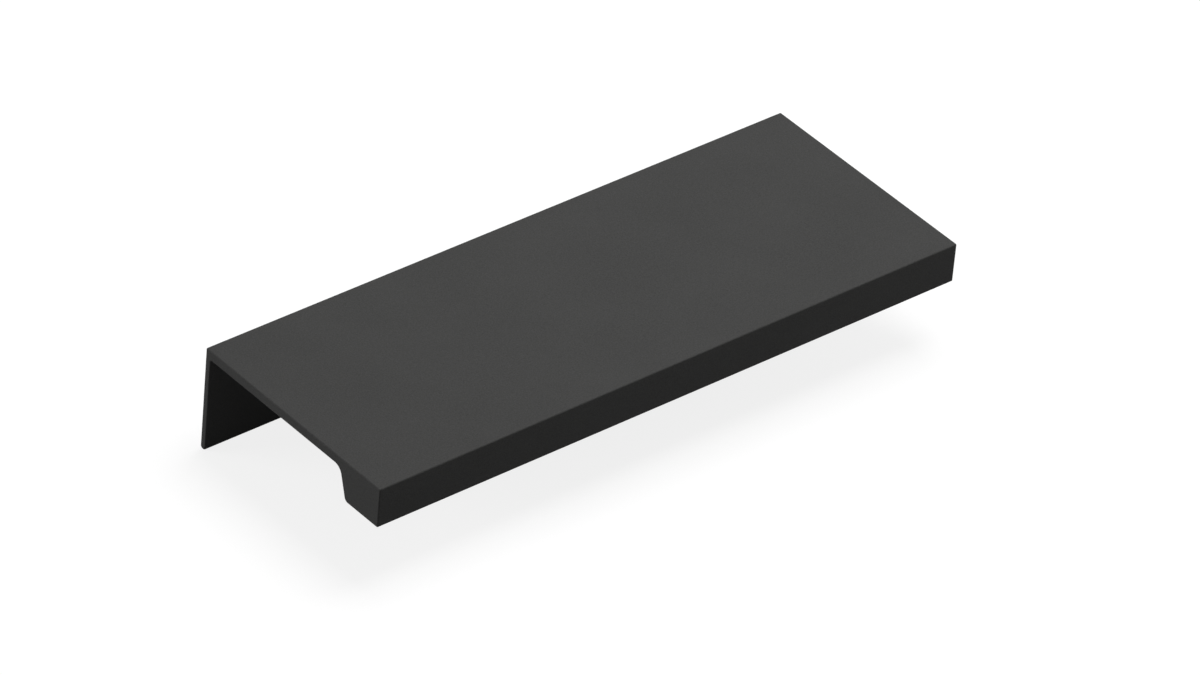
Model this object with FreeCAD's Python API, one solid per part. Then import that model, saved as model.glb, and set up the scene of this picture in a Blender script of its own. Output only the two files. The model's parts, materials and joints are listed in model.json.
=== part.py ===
"""Tab pull for the top edge of a drawer front or door, one aluminium extrusion.

A flat plate lies on the front's top edge.  A thin leg hangs down behind the front and takes two
countersunk screws, and a short thick lip hangs over the room side as the finger grip.

Millimetres.  +X runs along the pull, +Y points into the cabinet and +Z points up.  The origin is
the middle of the leg's seat, the inner face that bears on the front's back, midway between the holes.
"""
import FreeCAD
import Part
import math
import os

# Outside sizes of the extrusion, cut to length
LENGTH = 101.6
DEPTH = 38.1
END_BREAK = 0.15          # chamfer that takes the burr off both sawn ends
EDGE_R = 0.2              # round left by the die on the outside long edges

# Plate that lies on the front's top edge
PLATE_T = 1.5

# Leg behind the front, measured from the plate's upper face
LEG_H = 16.8
LEG_T = 1.0
LEG_TIP_R = 0.4
SEAT_ROOT_R = 0.4         # inside corner where the leg meets the plate

# Finger lip, measured from the plate's upper face and from the lip's front face
LIP_H = 6.35
LIP_TIP_DEPTH = 7.05
LIP_DRAFT_DEG = 17.7      # slope of the inner face, which thickens the lip towards its root
LIP_TIP_R = 0.8
LIP_ROOT_R = 1.6

# Screw holes, countersunk from the leg's outer face
SCREW_INSET = 12.7        # from each sawn end to the hole's centre
SCREW_HOLE_D = 3.4
SCREW_HEAD_D = 4.6
SCREW_HEAD_ANGLE = 90.0

# Levels and faces that the sizes above give
UNDER_Z = (LEG_H - PLATE_T) / 2
TOP_Z = UNDER_Z + PLATE_T
LEG_TIP_Z = TOP_Z - LEG_H
LIP_TIP_Z = TOP_Z - LIP_H
SEAT_Y = 0.0
BACK_Y = SEAT_Y + LEG_T
FRONT_Y = BACK_Y - DEPTH
LIP_TIP_Y = FRONT_Y + LIP_TIP_DEPTH
LIP_ROOT_Y = LIP_TIP_Y + (UNDER_Z - LIP_TIP_Z) * math.tan(math.radians(LIP_DRAFT_DEG))
SCREW_X = LENGTH / 2 - SCREW_INSET


def rounded_wire(x, corners):
    """Closed wire in the plane at x through (y, z, radius) corners, each rounded by its own radius."""
    points = [FreeCAD.Vector(x, y, z) for y, z, _ in corners]
    radii = [radius for _, _, radius in corners]
    starts = []
    middles = []
    ends = []
    for i, corner in enumerate(points):
        to_last = (points[i - 1] - corner).normalize()
        to_next = (points[(i + 1) % len(points)] - corner).normalize()
        half_angle = to_last.getAngle(to_next) / 2
        bisector = (to_last + to_next).normalize()
        run = radii[i] / math.tan(half_angle)
        reach = radii[i] / math.sin(half_angle) - radii[i]
        starts.append(corner + to_last * run)
        middles.append(corner + bisector * reach)
        ends.append(corner + to_next * run)
    edges = []
    for i in range(len(points)):
        edges.append(Part.LineSegment(ends[i - 1], starts[i]).toShape())
        edges.append(Part.Arc(starts[i], middles[i], ends[i]).toShape())
    return Part.Wire(edges)


def extrusion():
    """Bar with the pull's section, sawn to length and with its ends deburred."""
    leg_tip_r = min(LEG_TIP_R, 0.45 * LEG_T)
    tightest_r = min(EDGE_R, leg_tip_r, LIP_TIP_R)
    corners = [
        (FRONT_Y, TOP_Z, EDGE_R),
        (BACK_Y, TOP_Z, EDGE_R),
        (BACK_Y, LEG_TIP_Z, leg_tip_r),
        (SEAT_Y, LEG_TIP_Z, leg_tip_r),
        (SEAT_Y, UNDER_Z, SEAT_ROOT_R),
        (LIP_ROOT_Y, UNDER_Z, LIP_ROOT_R),
        (LIP_TIP_Y, LIP_TIP_Z, LIP_TIP_R),
        (FRONT_Y, LIP_TIP_Z, EDGE_R),
    ]
    section = Part.Face(rounded_wire(-LENGTH / 2, corners))
    bar = section.extrude(FreeCAD.Vector(LENGTH, 0, 0))
    end_edges = [edge for edge in bar.Edges if edge.BoundBox.XLength < LENGTH / 2]
    return bar.makeChamfer(min(END_BREAK, 0.8 * tightest_r), end_edges)


def screw_cutter(x):
    """Clearance hole through the leg at x, with the seat for a flat screw head at its outer face."""
    overrun = LEG_T
    axis = FreeCAD.Vector(0, 1, 0)
    hole_r = SCREW_HOLE_D / 2
    head_r = SCREW_HEAD_D / 2
    head_depth = (head_r - hole_r) / math.tan(math.radians(SCREW_HEAD_ANGLE / 2))
    hole_start = FreeCAD.Vector(x, SEAT_Y - overrun, 0)
    hole = Part.makeCylinder(hole_r, LEG_T + 2 * overrun, hole_start, axis)
    head_start = FreeCAD.Vector(x, BACK_Y - head_depth, 0)
    cone = Part.makeCone(hole_r, head_r, head_depth, head_start, axis)
    mouth = Part.makeCylinder(head_r, overrun, FreeCAD.Vector(x, BACK_Y, 0), axis)
    return hole.fuse([cone, mouth])


def tab_pull():
    """The finished pull: the extrusion with its two countersunk screw holes."""
    body = extrusion()
    for side in (-1, 1):
        body = body.cut(screw_cutter(side * SCREW_X))
    return body.removeSplitter()


def main():
    os.makedirs("parts", exist_ok=True)
    pull = tab_pull()
    if not pull.isValid() or len(pull.Solids) != 1:
        raise RuntimeError("the pull is not one valid solid")
    pull.Solids[0].exportStep("parts/tab_pull.step")
    box = pull.BoundBox
    print("tab_pull", round(pull.Volume, 1), "mm3", box)


main()
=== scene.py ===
"""Tab pull in matte black, with the studio it is shown in, laid out as an add-on.

The frame is the part's own, in metres: +X along the pull, +Y into the cabinet and +Z up, with the
origin in the middle of the leg's seat, which bears on the back of the drawer front.
"""
import json
import math

import bpy
from bpy.props import FloatProperty, FloatVectorProperty, IntProperty, PointerProperty
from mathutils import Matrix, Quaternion, Vector


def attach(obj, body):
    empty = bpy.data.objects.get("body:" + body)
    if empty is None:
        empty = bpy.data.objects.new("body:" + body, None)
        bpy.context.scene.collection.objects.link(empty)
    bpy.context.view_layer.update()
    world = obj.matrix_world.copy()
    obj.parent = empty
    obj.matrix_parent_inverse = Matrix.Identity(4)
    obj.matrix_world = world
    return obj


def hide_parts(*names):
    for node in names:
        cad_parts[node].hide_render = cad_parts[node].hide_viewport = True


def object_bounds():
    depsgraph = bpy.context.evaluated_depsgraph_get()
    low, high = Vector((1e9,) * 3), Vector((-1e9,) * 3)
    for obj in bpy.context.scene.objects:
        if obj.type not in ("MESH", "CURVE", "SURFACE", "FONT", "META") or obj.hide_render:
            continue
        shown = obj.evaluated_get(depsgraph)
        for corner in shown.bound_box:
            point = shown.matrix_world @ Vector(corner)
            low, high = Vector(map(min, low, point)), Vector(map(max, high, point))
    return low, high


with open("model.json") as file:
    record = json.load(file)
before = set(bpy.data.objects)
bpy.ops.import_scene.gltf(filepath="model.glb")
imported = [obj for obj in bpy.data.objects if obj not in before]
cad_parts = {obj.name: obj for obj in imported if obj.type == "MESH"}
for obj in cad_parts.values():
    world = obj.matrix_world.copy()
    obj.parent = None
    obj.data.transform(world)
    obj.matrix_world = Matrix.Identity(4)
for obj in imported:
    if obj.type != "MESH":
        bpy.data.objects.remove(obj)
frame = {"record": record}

bl_info = {
    "name": "Tab Pull",
    "version": (1, 0, 0),
    "blender": (4, 5, 0),
    "location": "3D View > Sidebar > Tab Pull",
    "description": "Builds an extruded tab pull with a matte black finish, and a stage to show it on",
    "category": "Object",
}

MM = 0.001
CAD_NODE = "tab_pull"
CAD_LOW, CAD_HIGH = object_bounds()
LEG_SCREWS = next(m for m in frame["record"]["mounts"] if m["name"] == "leg_screws")["dims"]

ROUND_STEPS = 10                    # points on each rounded corner of the section
BREAK_STEPS = 2                     # steps across the broken edge round each sawn end
END_BAND = 0.01 * MM                # an edge this near to a sawn end lies in it
CRISP_ANGLE = math.radians(30.0)    # a hole's rim is steeper than this, a rounded corner's steps are not
SENSOR_WIDTH = 36.0
FLOOR_REACH = 3.0


def length_property(name, description, default):
    """A length in metres that the sidebar shows in the scene's own unit."""
    return FloatProperty(name=name, description=description, default=default, unit="LENGTH",
                         subtype="DISTANCE", precision=5)


def angle_property(name, description, degrees):
    """An angle, given in degrees."""
    return FloatProperty(name=name, description=description, default=math.radians(degrees),
                         unit="ROTATION", subtype="ANGLE")


def colour_property(name, description, default):
    """A linear colour."""
    return FloatVectorProperty(name=name, description=description, default=default, size=3,
                               min=0.0, max=1.0, subtype="COLOR")


def share_property(name, description, default):
    """A share from 0 to 1."""
    return FloatProperty(name=name, description=description, default=default, min=0.0, max=1.0,
                         subtype="FACTOR")


def power_property(name, description, default):
    """A lamp's power in watts."""
    return FloatProperty(name=name, description=description, default=default, min=0.0, unit="POWER")


class TabPullSection(bpy.types.PropertyGroup):
    """Sizes of the extrusion's section and of its two sawn ends."""

    length: length_property("Length", "From one sawn end to the other", CAD_HIGH.x - CAD_LOW.x)
    depth: length_property("Depth", "From the lip's front to the leg's back", CAD_HIGH.y - CAD_LOW.y)
    plate_thickness: length_property("Plate Thickness", "Wall of the plate", CAD_HIGH.z + CAD_LOW.z)
    leg_height: length_property("Leg Height", "From the plate's upper face to the leg's tip",
                                CAD_HIGH.z - CAD_LOW.z)
    leg_thickness: length_property("Leg Thickness", "Wall of the leg", CAD_HIGH.y)
    leg_tip_radius: length_property("Leg Tip Radius", "Round at the leg's tip", 0.4 * MM)
    seat_root_radius: length_property("Seat Root Radius", "Inside corner of leg and plate", 0.4 * MM)
    lip_height: length_property("Lip Height", "From the plate's upper face to the lip's tip", 6.35 * MM)
    lip_tip_depth: length_property("Lip Tip Depth", "From front to back at the lip's tip", 7.05 * MM)
    lip_draft: angle_property("Lip Draft", "Slope of the lip's inner face", 17.7)
    lip_tip_radius: length_property("Lip Tip Radius", "Round at the lip's inner tip", 0.8 * MM)
    lip_root_radius: length_property("Lip Root Radius", "Inside corner of lip and plate", 1.6 * MM)
    edge_radius: length_property("Edge Radius", "Round on the outside long edges", 0.2 * MM)
    end_break: length_property("End Break", "Width of the deburred edge round each end", 0.15 * MM)


class TabPullScrews(bpy.types.PropertyGroup):
    """Sizes of the countersunk screw holes in the leg."""

    spacing: length_property("Screw Spacing", "Between the centres of the two holes",
                             LEG_SCREWS["spacing_x_mm"] * MM)
    hole_diameter: length_property("Hole Diameter", "Clearance hole for the screw's shank",
                                   2 * LEG_SCREWS["hole_r_mm"] * MM)
    head_diameter: length_property("Head Diameter", "Mouth of the countersink", 4.6 * MM)
    head_angle: angle_property("Head Angle", "Full angle of the countersink", 90.0)
    facets: IntProperty(name="Facets", description="Sides of each round hole", default=64, min=12)


class TabPullFinish(bpy.types.PropertyGroup):
    """Colours and grain of the matte black finish."""

    dark: colour_property("Dark", "Colour in the hollows of the grain", (0.041, 0.041, 0.0403))
    light: colour_property("Light", "Colour on the crests of the grain", (0.069, 0.069, 0.0679))
    grain: length_property("Grain", "Width of one grain of the finish", 0.18 * MM)
    grain_height: length_property("Grain Height", "Depth of the grain's relief", 0.012 * MM)
    roughness: share_property("Roughness", "Mean roughness of the finish", 0.62)
    reflection: share_property("Reflection", "Strength of the surface reflection", 0.03)


class TabPullStage(bpy.types.PropertyGroup):
    """Camera, lamps and floor of the stage."""

    lens: FloatProperty(name="Lens", description="Focal length", default=274.94, unit="CAMERA")
    azimuth: angle_property("Azimuth", "Turn of the camera round the pull", -42.23)
    elevation: angle_property("Elevation", "Height of the camera above the horizon", 35.98)
    roll: angle_property("Roll", "Turn of the camera about its own axis", 5.2)
    distance: length_property("Distance", "From the camera to the point it looks at", 1.2578)
    aim: FloatVectorProperty(name="Aim", description="Point that the camera looks at",
                             default=(2.275 * MM, -19.06 * MM, 1.672 * MM), unit="LENGTH",
                             subtype="TRANSLATION", precision=5)
    floor_drop: length_property("Floor Drop", "From the leg's tip down to the floor", 0.1 * MM)
    floor: colour_property("Floor", "Colour of the floor as the pull sees it", (0.3, 0.3, 0.3))
    shadow: share_property("Shadow", "Share of the floor's white that the lamps give", 0.2)
    shadow_glow: share_property("Shadow Glow", "Share of the floor's white that no shadow takes", 0.84)
    fade_start: length_property("Fade Start", "Where the floor begins to turn plain white", 0.1)
    fade_end: length_property("Fade End", "Where the floor is plain white", 0.3)
    ambient: FloatProperty(name="Ambient", description="Light from all round", default=0.12, min=0.0)
    key: power_property("Key", "Power of the lamp above the far end", 1.84)
    side: power_property("Side", "Power of the low lamp beyond the near end", 3.4)
    fill: power_property("Fill", "Power of the low lamp beyond the far end", 0.2)


class TabPullSettings(bpy.types.PropertyGroup):
    """All sizes and colours of the pull and its stage."""

    section: PointerProperty(type=TabPullSection)
    screws: PointerProperty(type=TabPullScrews)
    finish: PointerProperty(type=TabPullFinish)
    stage: PointerProperty(type=TabPullStage)


class TreeMaker:
    """Adds nodes to a tree and joins them, so that a tree reads in the order it works."""

    def __init__(self, tree):
        self.tree = tree

    def node(self, kind, sockets=None, **settings):
        """A new node with its settings, and each socket linked or set by its name or number."""
        node = self.tree.nodes.new(kind)
        for name, value in settings.items():
            setattr(node, name, value)
        for key, value in (sockets or {}).items():
            self.feed(self.find(node.inputs, key), value)
        return node

    def find(self, sockets, key):
        """The socket with a number, or the one in use with a name."""
        if isinstance(key, int):
            return sockets[key]
        return next(s for s in sockets if s.name == key and s.enabled)

    def feed(self, socket, value):
        """Links another socket to this one, or sets its value."""
        if isinstance(value, bpy.types.NodeSocket):
            self.tree.links.new(value, socket)
        else:
            socket.default_value = value

    def math(self, operation, *values):
        """The result of one sum on numbers or sockets."""
        return self.node("ShaderNodeMath", dict(enumerate(values)), operation=operation).outputs[0]

    def vector(self, **values):
        """A vector from numbers or sockets for X, Y and Z, with 0 for those left out."""
        return self.node("ShaderNodeCombineXYZ", values).outputs[0]


class SizedTree(TreeMaker):
    """A geometry tree with named inputs, which remembers the value of each for its modifier."""

    def __init__(self, name):
        super().__init__(bpy.data.node_groups.new(name, "GeometryNodeTree"))
        self.values = {}
        self.group_input = self.tree.nodes.new("NodeGroupInput")

    def declare(self, name, kind, value):
        """A new named input of the tree, with the value that the modifier gives it."""
        socket = self.tree.interface.new_socket(name, in_out="INPUT", socket_type=kind)
        self.values[socket.identifier] = value
        return next(s for s in self.group_input.outputs if s.identifier == socket.identifier)

    def size(self, group, name):
        """A new input for one size of a group, under that size's own label."""
        label = group.bl_rna.properties[name].name
        return self.declare(label, "NodeSocketFloat", getattr(group, name))

    def choose_by_index(self, kind, values):
        """A field that takes the first value on point 0, the second on point 1, and so on."""
        switch = self.node("GeometryNodeIndexSwitch", data_type=kind)
        while len(switch.index_switch_items) < len(values):
            switch.index_switch_items.new()
        index = self.node("GeometryNodeInputIndex").outputs[0]
        for socket, value in zip(switch.inputs, [index, *values]):
            self.feed(socket, value)
        return switch.outputs[0]

    def finish(self, geometry):
        """Leads the finished geometry out of the tree."""
        self.tree.interface.new_socket("Geometry", in_out="OUTPUT", socket_type="NodeSocketGeometry")
        group_output = self.tree.nodes.new("NodeGroupOutput")
        self.tree.links.new(geometry, group_output.inputs[0])

    def put_on(self, obj):
        """Adds the tree to an object as a modifier, with the values of its inputs."""
        modifier = obj.modifiers.new(self.tree.name, "NODES")
        modifier.node_group = self.tree
        for identifier, value in self.values.items():
            modifier[identifier] = value


def section_curve(tree, section, plate, leg):
    """The rounded outline of the extrusion, with the part's Y and Z as its own X and Y."""
    depth = tree.size(section, "depth")
    leg_height = tree.size(section, "leg_height")
    lip_height = tree.size(section, "lip_height")
    lip_tip_depth = tree.size(section, "lip_tip_depth")
    lip_draft = tree.size(section, "lip_draft")
    edge_radius = tree.size(section, "edge_radius")
    leg_tip_radius = tree.size(section, "leg_tip_radius")
    seat_root_radius = tree.size(section, "seat_root_radius")
    lip_root_radius = tree.size(section, "lip_root_radius")
    lip_tip_radius = tree.size(section, "lip_tip_radius")

    # Levels, with the origin halfway up the seat
    under = tree.math("MULTIPLY", tree.math("SUBTRACT", leg_height, plate), 0.5)
    top = tree.math("ADD", under, plate)
    leg_tip = tree.math("SUBTRACT", top, leg_height)
    lip_tip = tree.math("SUBTRACT", top, lip_height)

    # Upright faces, from the seat at the origin to the lip
    seat = 0.0
    back = leg
    front = tree.math("SUBTRACT", back, depth)
    lip_tip_back = tree.math("ADD", front, lip_tip_depth)
    lip_drop = tree.math("SUBTRACT", under, lip_tip)
    lip_slope = tree.math("TANGENT", lip_draft)
    lip_root_back = tree.math("MULTIPLY_ADD", lip_drop, lip_slope, lip_tip_back)

    corners = [
        (front, lip_tip, edge_radius),
        (lip_tip_back, lip_tip, lip_tip_radius),
        (lip_root_back, under, lip_root_radius),
        (seat, under, seat_root_radius),
        (seat, leg_tip, leg_tip_radius),
        (back, leg_tip, leg_tip_radius),
        (back, top, edge_radius),
        (front, top, edge_radius),
    ]
    points = [tree.vector(X=y, Y=z) for y, z, _ in corners]
    radii = [radius for _, _, radius in corners]
    ring = tree.node("GeometryNodeCurvePrimitiveCircle", {"Resolution": len(corners)})
    outline = tree.node("GeometryNodeSetPosition", {
        "Geometry": ring.outputs["Curve"],
        "Position": tree.choose_by_index("VECTOR", points),
    })
    return tree.node("GeometryNodeFilletCurve", {
        "Curve": outline.outputs["Geometry"],
        "Count": ROUND_STEPS,
        "Radius": tree.choose_by_index("FLOAT", radii),
        "Limit Radius": True,
    }, mode="POLY").outputs["Curve"]


def screw_cutters(tree, screws, leg):
    """The two countersunk holes as solids, to be taken out of the leg."""
    spacing = tree.size(screws, "spacing")
    hole_radius = tree.math("MULTIPLY", tree.size(screws, "hole_diameter"), 0.5)
    head_radius = tree.math("MULTIPLY", tree.size(screws, "head_diameter"), 0.5)
    head_angle = tree.size(screws, "head_angle")
    facets = tree.declare("Facets", "NodeSocketInt", screws.facets)

    # The cutter starts before the seat, widens at the countersink and runs on past the outer face.
    slope = tree.math("TANGENT", tree.math("MULTIPLY", head_angle, 0.5))
    head_depth = tree.math("DIVIDE", tree.math("SUBTRACT", head_radius, hole_radius), slope)
    stations = [
        (tree.math("MULTIPLY", leg, -1.0), hole_radius),
        (tree.math("SUBTRACT", leg, head_depth), hole_radius),
        (tree.math("MULTIPLY", leg, 2.0), tree.math("MULTIPLY_ADD", leg, slope, head_radius)),
    ]
    points = [tree.vector(Y=y) for y, _ in stations]
    radii = [radius for _, radius in stations]
    line = tree.node("GeometryNodeCurvePrimitiveLine")
    axis = tree.node("GeometryNodeSubdivideCurve", {
        "Curve": line.outputs["Curve"],
        "Cuts": len(stations) - 2,
    })
    placed = tree.node("GeometryNodeSetPosition", {
        "Geometry": axis.outputs["Curve"],
        "Position": tree.choose_by_index("VECTOR", points),
    })
    circle = tree.node("GeometryNodeCurvePrimitiveCircle", {"Resolution": facets, "Radius": 1.0})
    cutter = tree.node("GeometryNodeCurveToMesh", {
        "Curve": placed.outputs["Geometry"],
        "Profile Curve": circle.outputs["Curve"],
        "Scale": tree.choose_by_index("FLOAT", radii),
        "Fill Caps": True,
    })
    centres = tree.node("GeometryNodeMeshLine", {
        "Count": LEG_SCREWS["count"],
        "Start Location": tree.vector(X=tree.math("MULTIPLY", spacing, -0.5)),
        "Offset": tree.vector(X=spacing),
    })
    return tree.node("GeometryNodeInstanceOnPoints", {
        "Points": centres.outputs["Mesh"],
        "Instance": cutter.outputs["Mesh"],
    }).outputs["Instances"]


def pull_tree(settings, material):
    """The tree of the whole pull: the section swept along X, less the screw holes."""
    tree = SizedTree("Tab Pull Extrusion")
    section = settings.section
    length = tree.size(section, "length")
    plate = tree.size(section, "plate_thickness")
    leg = tree.size(section, "leg_thickness")
    finish = tree.declare("Finish", "NodeSocketMaterial", material)

    half = tree.math("MULTIPLY", length, 0.5)
    path = tree.node("GeometryNodeCurvePrimitiveLine", {
        "Start": tree.vector(X=tree.math("MULTIPLY", length, -0.5)),
        "End": tree.vector(X=half),
    })
    upright = tree.node("GeometryNodeSetCurveTilt", {"Curve": path.outputs["Curve"], "Tilt": math.pi})
    bar = tree.node("GeometryNodeCurveToMesh", {
        "Curve": upright.outputs["Curve"],
        "Profile Curve": section_curve(tree, section, plate, leg),
        "Fill Caps": True,
    })
    drilled = tree.node("GeometryNodeMeshBoolean", {
        "Mesh 1": bar.outputs["Mesh"],
        "Mesh 2": screw_cutters(tree, settings.screws, leg),
    }, operation="DIFFERENCE", solver="EXACT")

    # Only the edges that lie in the two sawn ends are broken.
    position = tree.node("GeometryNodeInputPosition").outputs[0]
    x = tree.node("ShaderNodeSeparateXYZ", {0: position}).outputs["X"]
    from_end = tree.math("SUBTRACT", half, tree.math("ABSOLUTE", x))
    at_end = tree.math("LESS_THAN", from_end, END_BAND)
    weighted = tree.node("GeometryNodeStoreNamedAttribute", {
        "Geometry": drilled.outputs["Mesh"],
        "Name": "bevel_weight_edge",
        "Value": at_end,
    }, data_type="FLOAT", domain="EDGE")

    # The rims of the holes stay crisp, and all else is shaded smooth.
    smooth = tree.node("GeometryNodeSetShadeSmooth", {"Geometry": weighted.outputs["Geometry"]})
    edge_angle = tree.node("GeometryNodeInputMeshEdgeAngle").outputs["Unsigned Angle"]
    steep = tree.math("GREATER_THAN", edge_angle, CRISP_ANGLE)
    rim = tree.math("MULTIPLY", steep, tree.math("SUBTRACT", 1.0, at_end))
    crisp = tree.node("GeometryNodeSetShadeSmooth", {
        "Geometry": smooth.outputs["Geometry"],
        "Selection": rim,
        "Shade Smooth": False,
    }, domain="EDGE")
    realized = tree.node("GeometryNodeRealizeInstances", {"Geometry": crisp.outputs["Geometry"]})
    painted = tree.node("GeometryNodeSetMaterial", {
        "Geometry": realized.outputs["Geometry"],
        "Material": finish,
    })
    tree.finish(painted.outputs["Geometry"])
    return tree


def matte_black(finish):
    """Matte black finish: a fine even grain in colour, gloss and relief over a slow cloudiness."""
    pattern_turn = (0.5, 0.8, 0.3)
    clouds_per_metre = 90.0
    cloud_share = 0.3
    grain_share = 0.7
    gloss_spread = 0.12

    material = bpy.data.materials.new("matte_black")
    material.use_nodes = True
    tree = TreeMaker(material.node_tree)
    shader = material.node_tree.nodes["Principled BSDF"]

    # The pattern is turned off the faces' own directions, so that it is alike on all of them.
    place = tree.node("ShaderNodeMapping", {
        "Vector": tree.node("ShaderNodeTexCoord").outputs["Object"],
        "Rotation": pattern_turn,
    }).outputs["Vector"]

    grain = tree.node("ShaderNodeTexNoise", {
        "Vector": place,
        "Scale": 1.0 / finish.grain,
        "Detail": 3.0,
        "Roughness": 0.6,
    }).outputs["Fac"]
    cloud = tree.node("ShaderNodeTexNoise", {
        "Vector": place,
        "Scale": clouds_per_metre,
        "Detail": 2.0,
    }).outputs["Fac"]
    speckle = tree.node("ShaderNodeMapRange", {
        "Value": grain,
        "From Min": 0.3,
        "From Max": 0.7,
    }).outputs[0]
    tone = tree.math("MULTIPLY_ADD", cloud, cloud_share, tree.math("MULTIPLY", speckle, grain_share))
    colour = tree.node("ShaderNodeMix", {
        "Factor": tone,
        "A": (*finish.dark, 1.0),
        "B": (*finish.light, 1.0),
    }, data_type="RGBA")
    glossiest = finish.roughness - gloss_spread / 2
    relief = tree.node("ShaderNodeBump", {
        "Strength": 0.6,
        "Distance": finish.grain_height,
        "Height": grain,
    })
    tree.feed(shader.inputs["Base Color"], tree.find(colour.outputs, "Result"))
    tree.feed(shader.inputs["Roughness"], tree.math("MULTIPLY_ADD", speckle, gloss_spread, glossiest))
    tree.feed(shader.inputs["Normal"], relief.outputs["Normal"])
    shader.inputs["Metallic"].default_value = 0.0
    shader.inputs["Specular IOR Level"].default_value = finish.reflection
    return material


def make_plain(obj):
    """Turns an object and its modifiers into one plain mesh."""
    depsgraph = bpy.context.evaluated_depsgraph_get()
    mesh = bpy.data.meshes.new_from_object(obj.evaluated_get(depsgraph), depsgraph=depsgraph)
    obj.modifiers.clear()
    obj.data = mesh
    mesh.name = obj.name
    # Cutting the holes leaves an empty slot before the finish.
    while mesh.materials[0] is None:
        mesh.materials.pop(index=0)


class TAB_PULL_OT_pull(bpy.types.Operator):
    """Build the extruded pull with its screw holes and its matte black finish"""

    bl_idname = "tab_pull.pull"
    bl_label = "Build Pull"

    def execute(self, context):
        settings = context.scene.tab_pull
        pull = bpy.data.objects.new("pull", bpy.data.meshes.new("pull"))
        context.scene.collection.objects.link(pull)
        pull_tree(settings, matte_black(settings.finish)).put_on(pull)
        deburr = pull.modifiers.new("Deburred Ends", "BEVEL")
        deburr.limit_method = "WEIGHT"
        deburr.width = settings.section.end_break
        deburr.segments = BREAK_STEPS
        deburr.use_clamp_overlap = False
        pull.modifiers.new("Flat Faces", "WEIGHTED_NORMAL").keep_sharp = True
        make_plain(pull)
        if not pull.data.polygons:
            raise RuntimeError("the pull has no faces")
        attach(pull, "root")
        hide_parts(CAD_NODE)
        return {"FINISHED"}


def direction(azimuth, elevation):
    """Unit vector from the pull towards a camera or lamp; azimuth 0 is in front of the lip."""
    flat = math.cos(elevation)
    return Vector((math.sin(azimuth) * flat, -math.cos(azimuth) * flat, math.sin(elevation)))


def look_back(obj, away, distance, aim, roll=0.0):
    """Puts a camera or lamp at a distance from the point it looks at."""
    obj.location = aim + away * distance
    obj.rotation_mode = "QUATERNION"
    turn = Quaternion((0.0, 0.0, 1.0), roll)
    obj.rotation_quaternion = (-away).to_track_quat("-Z", "Y") @ turn


def add_camera(stage):
    """The long lens that sees the pull from above its near end."""
    data = bpy.data.cameras.new("camera")
    data.lens = stage.lens
    data.sensor_width = SENSOR_WIDTH
    camera = bpy.data.objects.new("camera", data)
    bpy.context.scene.collection.objects.link(camera)
    away = direction(stage.azimuth, stage.elevation)
    look_back(camera, away, stage.distance, Vector(stage.aim), stage.roll)
    bpy.context.scene.camera = camera


def add_lamp(name, power, width, azimuth, elevation, distance):
    """A square soft lamp that points at the middle of the pull, with its angles in degrees."""
    data = bpy.data.lights.new(name, "AREA")
    data.shape = "SQUARE"
    data.size = width
    data.energy = power
    lamp = bpy.data.objects.new(name, data)
    bpy.context.scene.collection.objects.link(lamp)
    middle = (CAD_LOW + CAD_HIGH) / 2
    away = direction(math.radians(azimuth), math.radians(elevation))
    look_back(lamp, away, distance, middle)


def seen_directly(tree):
    """1 for what the camera sees, straight on or by reflection or through glass, and else 0."""
    path = tree.node("ShaderNodeLightPath").outputs
    mirrored = tree.math("MAXIMUM", path["Is Glossy Ray"], path["Is Transmission Ray"])
    return tree.math("MAXIMUM", path["Is Camera Ray"], mirrored)


def add_world(stage):
    """Even light from all round, in front of a white background."""
    world = bpy.data.worlds.new("studio")
    world.use_nodes = True
    bpy.context.scene.world = world
    tree = TreeMaker(world.node_tree)
    strength = tree.node("ShaderNodeMix", {
        "Factor": seen_directly(tree),
        "A": stage.ambient,
        "B": 1.0,
    }, data_type="FLOAT")
    background = world.node_tree.nodes["Background"]
    background.inputs["Color"].default_value = (1.0, 1.0, 1.0, 1.0)
    tree.feed(background.inputs["Strength"], tree.find(strength.outputs, "Result"))


def floor_material(stage):
    """White floor with a faint shadow round the pull, which throws little light up at it."""
    material = bpy.data.materials.new("floor")
    material.use_nodes = True
    tree = TreeMaker(material.node_tree)
    output = material.node_tree.nodes["Material Output"]
    material.node_tree.nodes.remove(material.node_tree.nodes["Principled BSDF"])

    # What the camera sees: a shadow near the pull that fades into plain white
    lit = tree.node("ShaderNodeBsdfDiffuse", {"Color": (stage.shadow, stage.shadow, stage.shadow, 1.0)})
    glow = tree.node("ShaderNodeEmission", {"Strength": stage.shadow_glow})
    shadowed = tree.node("ShaderNodeAddShader", {0: lit.outputs[0], 1: glow.outputs[0]})
    white = tree.node("ShaderNodeEmission", {"Strength": 1.0})
    place = tree.node("ShaderNodeTexCoord").outputs["Object"]
    away = tree.node("ShaderNodeVectorMath", {0: place}, operation="LENGTH").outputs["Value"]
    fade = tree.node("ShaderNodeMapRange", {
        "Value": away,
        "From Min": stage.fade_start,
        "From Max": stage.fade_end,
    }, interpolation_type="SMOOTHSTEP")
    shown = tree.node("ShaderNodeMixShader", {
        0: fade.outputs[0],
        1: shadowed.outputs[0],
        2: white.outputs[0],
    })

    # What the pull sees, and nothing at all from below
    dull = tree.node("ShaderNodeBsdfDiffuse", {"Color": (*stage.floor, 1.0)})
    upper = tree.node("ShaderNodeMixShader", {
        0: seen_directly(tree),
        1: dull.outputs[0],
        2: shown.outputs[0],
    })
    clear = tree.node("ShaderNodeBsdfTransparent")
    below = tree.node("ShaderNodeNewGeometry").outputs["Backfacing"]
    surface = tree.node("ShaderNodeMixShader", {0: below, 1: upper.outputs[0], 2: clear.outputs[0]})
    tree.feed(output.inputs["Surface"], surface.outputs[0])
    return material


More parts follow.
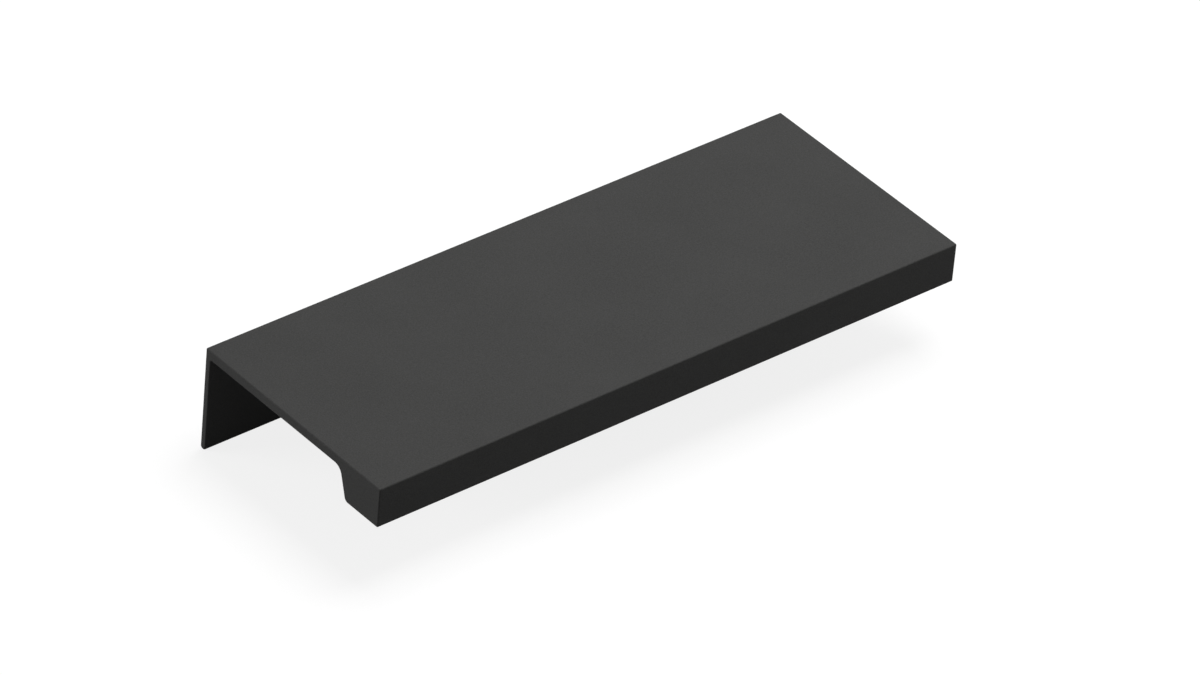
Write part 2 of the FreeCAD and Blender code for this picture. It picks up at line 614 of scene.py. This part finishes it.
def add_floor(stage):
    """A wide level floor under the pull."""
    level = CAD_LOW.z - stage.floor_drop
    turns = [(-1, -1), (1, -1), (1, 1), (-1, 1)]
    corners = [(x * FLOOR_REACH, y * FLOOR_REACH, level) for x, y in turns]
    mesh = bpy.data.meshes.new("floor")
    mesh.from_pydata(corners, [], [(0, 1, 2, 3)])
    mesh.materials.append(floor_material(stage))
    floor = bpy.data.objects.new("floor", mesh)
    bpy.context.scene.collection.objects.link(floor)


class TAB_PULL_OT_stage(bpy.types.Operator):
    """Set up the white stage with its floor, lamps and camera"""

    bl_idname = "tab_pull.stage"
    bl_label = "Build Stage"

    def execute(self, context):
        stage = context.scene.tab_pull.stage
        context.scene.view_settings.view_transform = "Standard"
        add_world(stage)
        add_floor(stage)
        add_lamp("key", stage.key, width=0.3, azimuth=90.0, elevation=76.0, distance=0.45)
        add_lamp("side", stage.side, width=0.45, azimuth=-130.0, elevation=12.0, distance=0.8)
        add_lamp("fill", stage.fill, width=0.2, azimuth=75.0, elevation=20.0, distance=0.35)
        add_camera(stage)
        return {"FINISHED"}


class VIEW3D_PT_tab_pull(bpy.types.Panel):
    """Sizes, colours and steps of the tab pull"""

    bl_label = "Tab Pull"
    bl_space_type = "VIEW_3D"
    bl_region_type = "UI"
    bl_category = "Tab Pull"

    def draw(self, context):
        settings = context.scene.tab_pull
        for title in ("section", "screws", "finish", "stage"):
            group = getattr(settings, title)
            box = self.layout.box()
            box.label(text=title.capitalize())
            for name in group.__annotations__:
                box.prop(group, name)
        for operator in OPERATORS:
            self.layout.operator(operator.bl_idname)


OPERATORS = (TAB_PULL_OT_pull, TAB_PULL_OT_stage)
CLASSES = (
    TabPullSection,
    TabPullScrews,
    TabPullFinish,
    TabPullStage,
    TabPullSettings,
    *OPERATORS,
    VIEW3D_PT_tab_pull,
)


def register():
    for cls in CLASSES:
        bpy.utils.register_class(cls)
    bpy.types.Scene.tab_pull = PointerProperty(type=TabPullSettings)


def unregister():
    del bpy.types.Scene.tab_pull
    for cls in reversed(CLASSES):
        bpy.utils.unregister_class(cls)


def main():
    register()
    bpy.ops.tab_pull.pull()
    bpy.ops.tab_pull.stage()


if __name__ == "__main__":
    main()
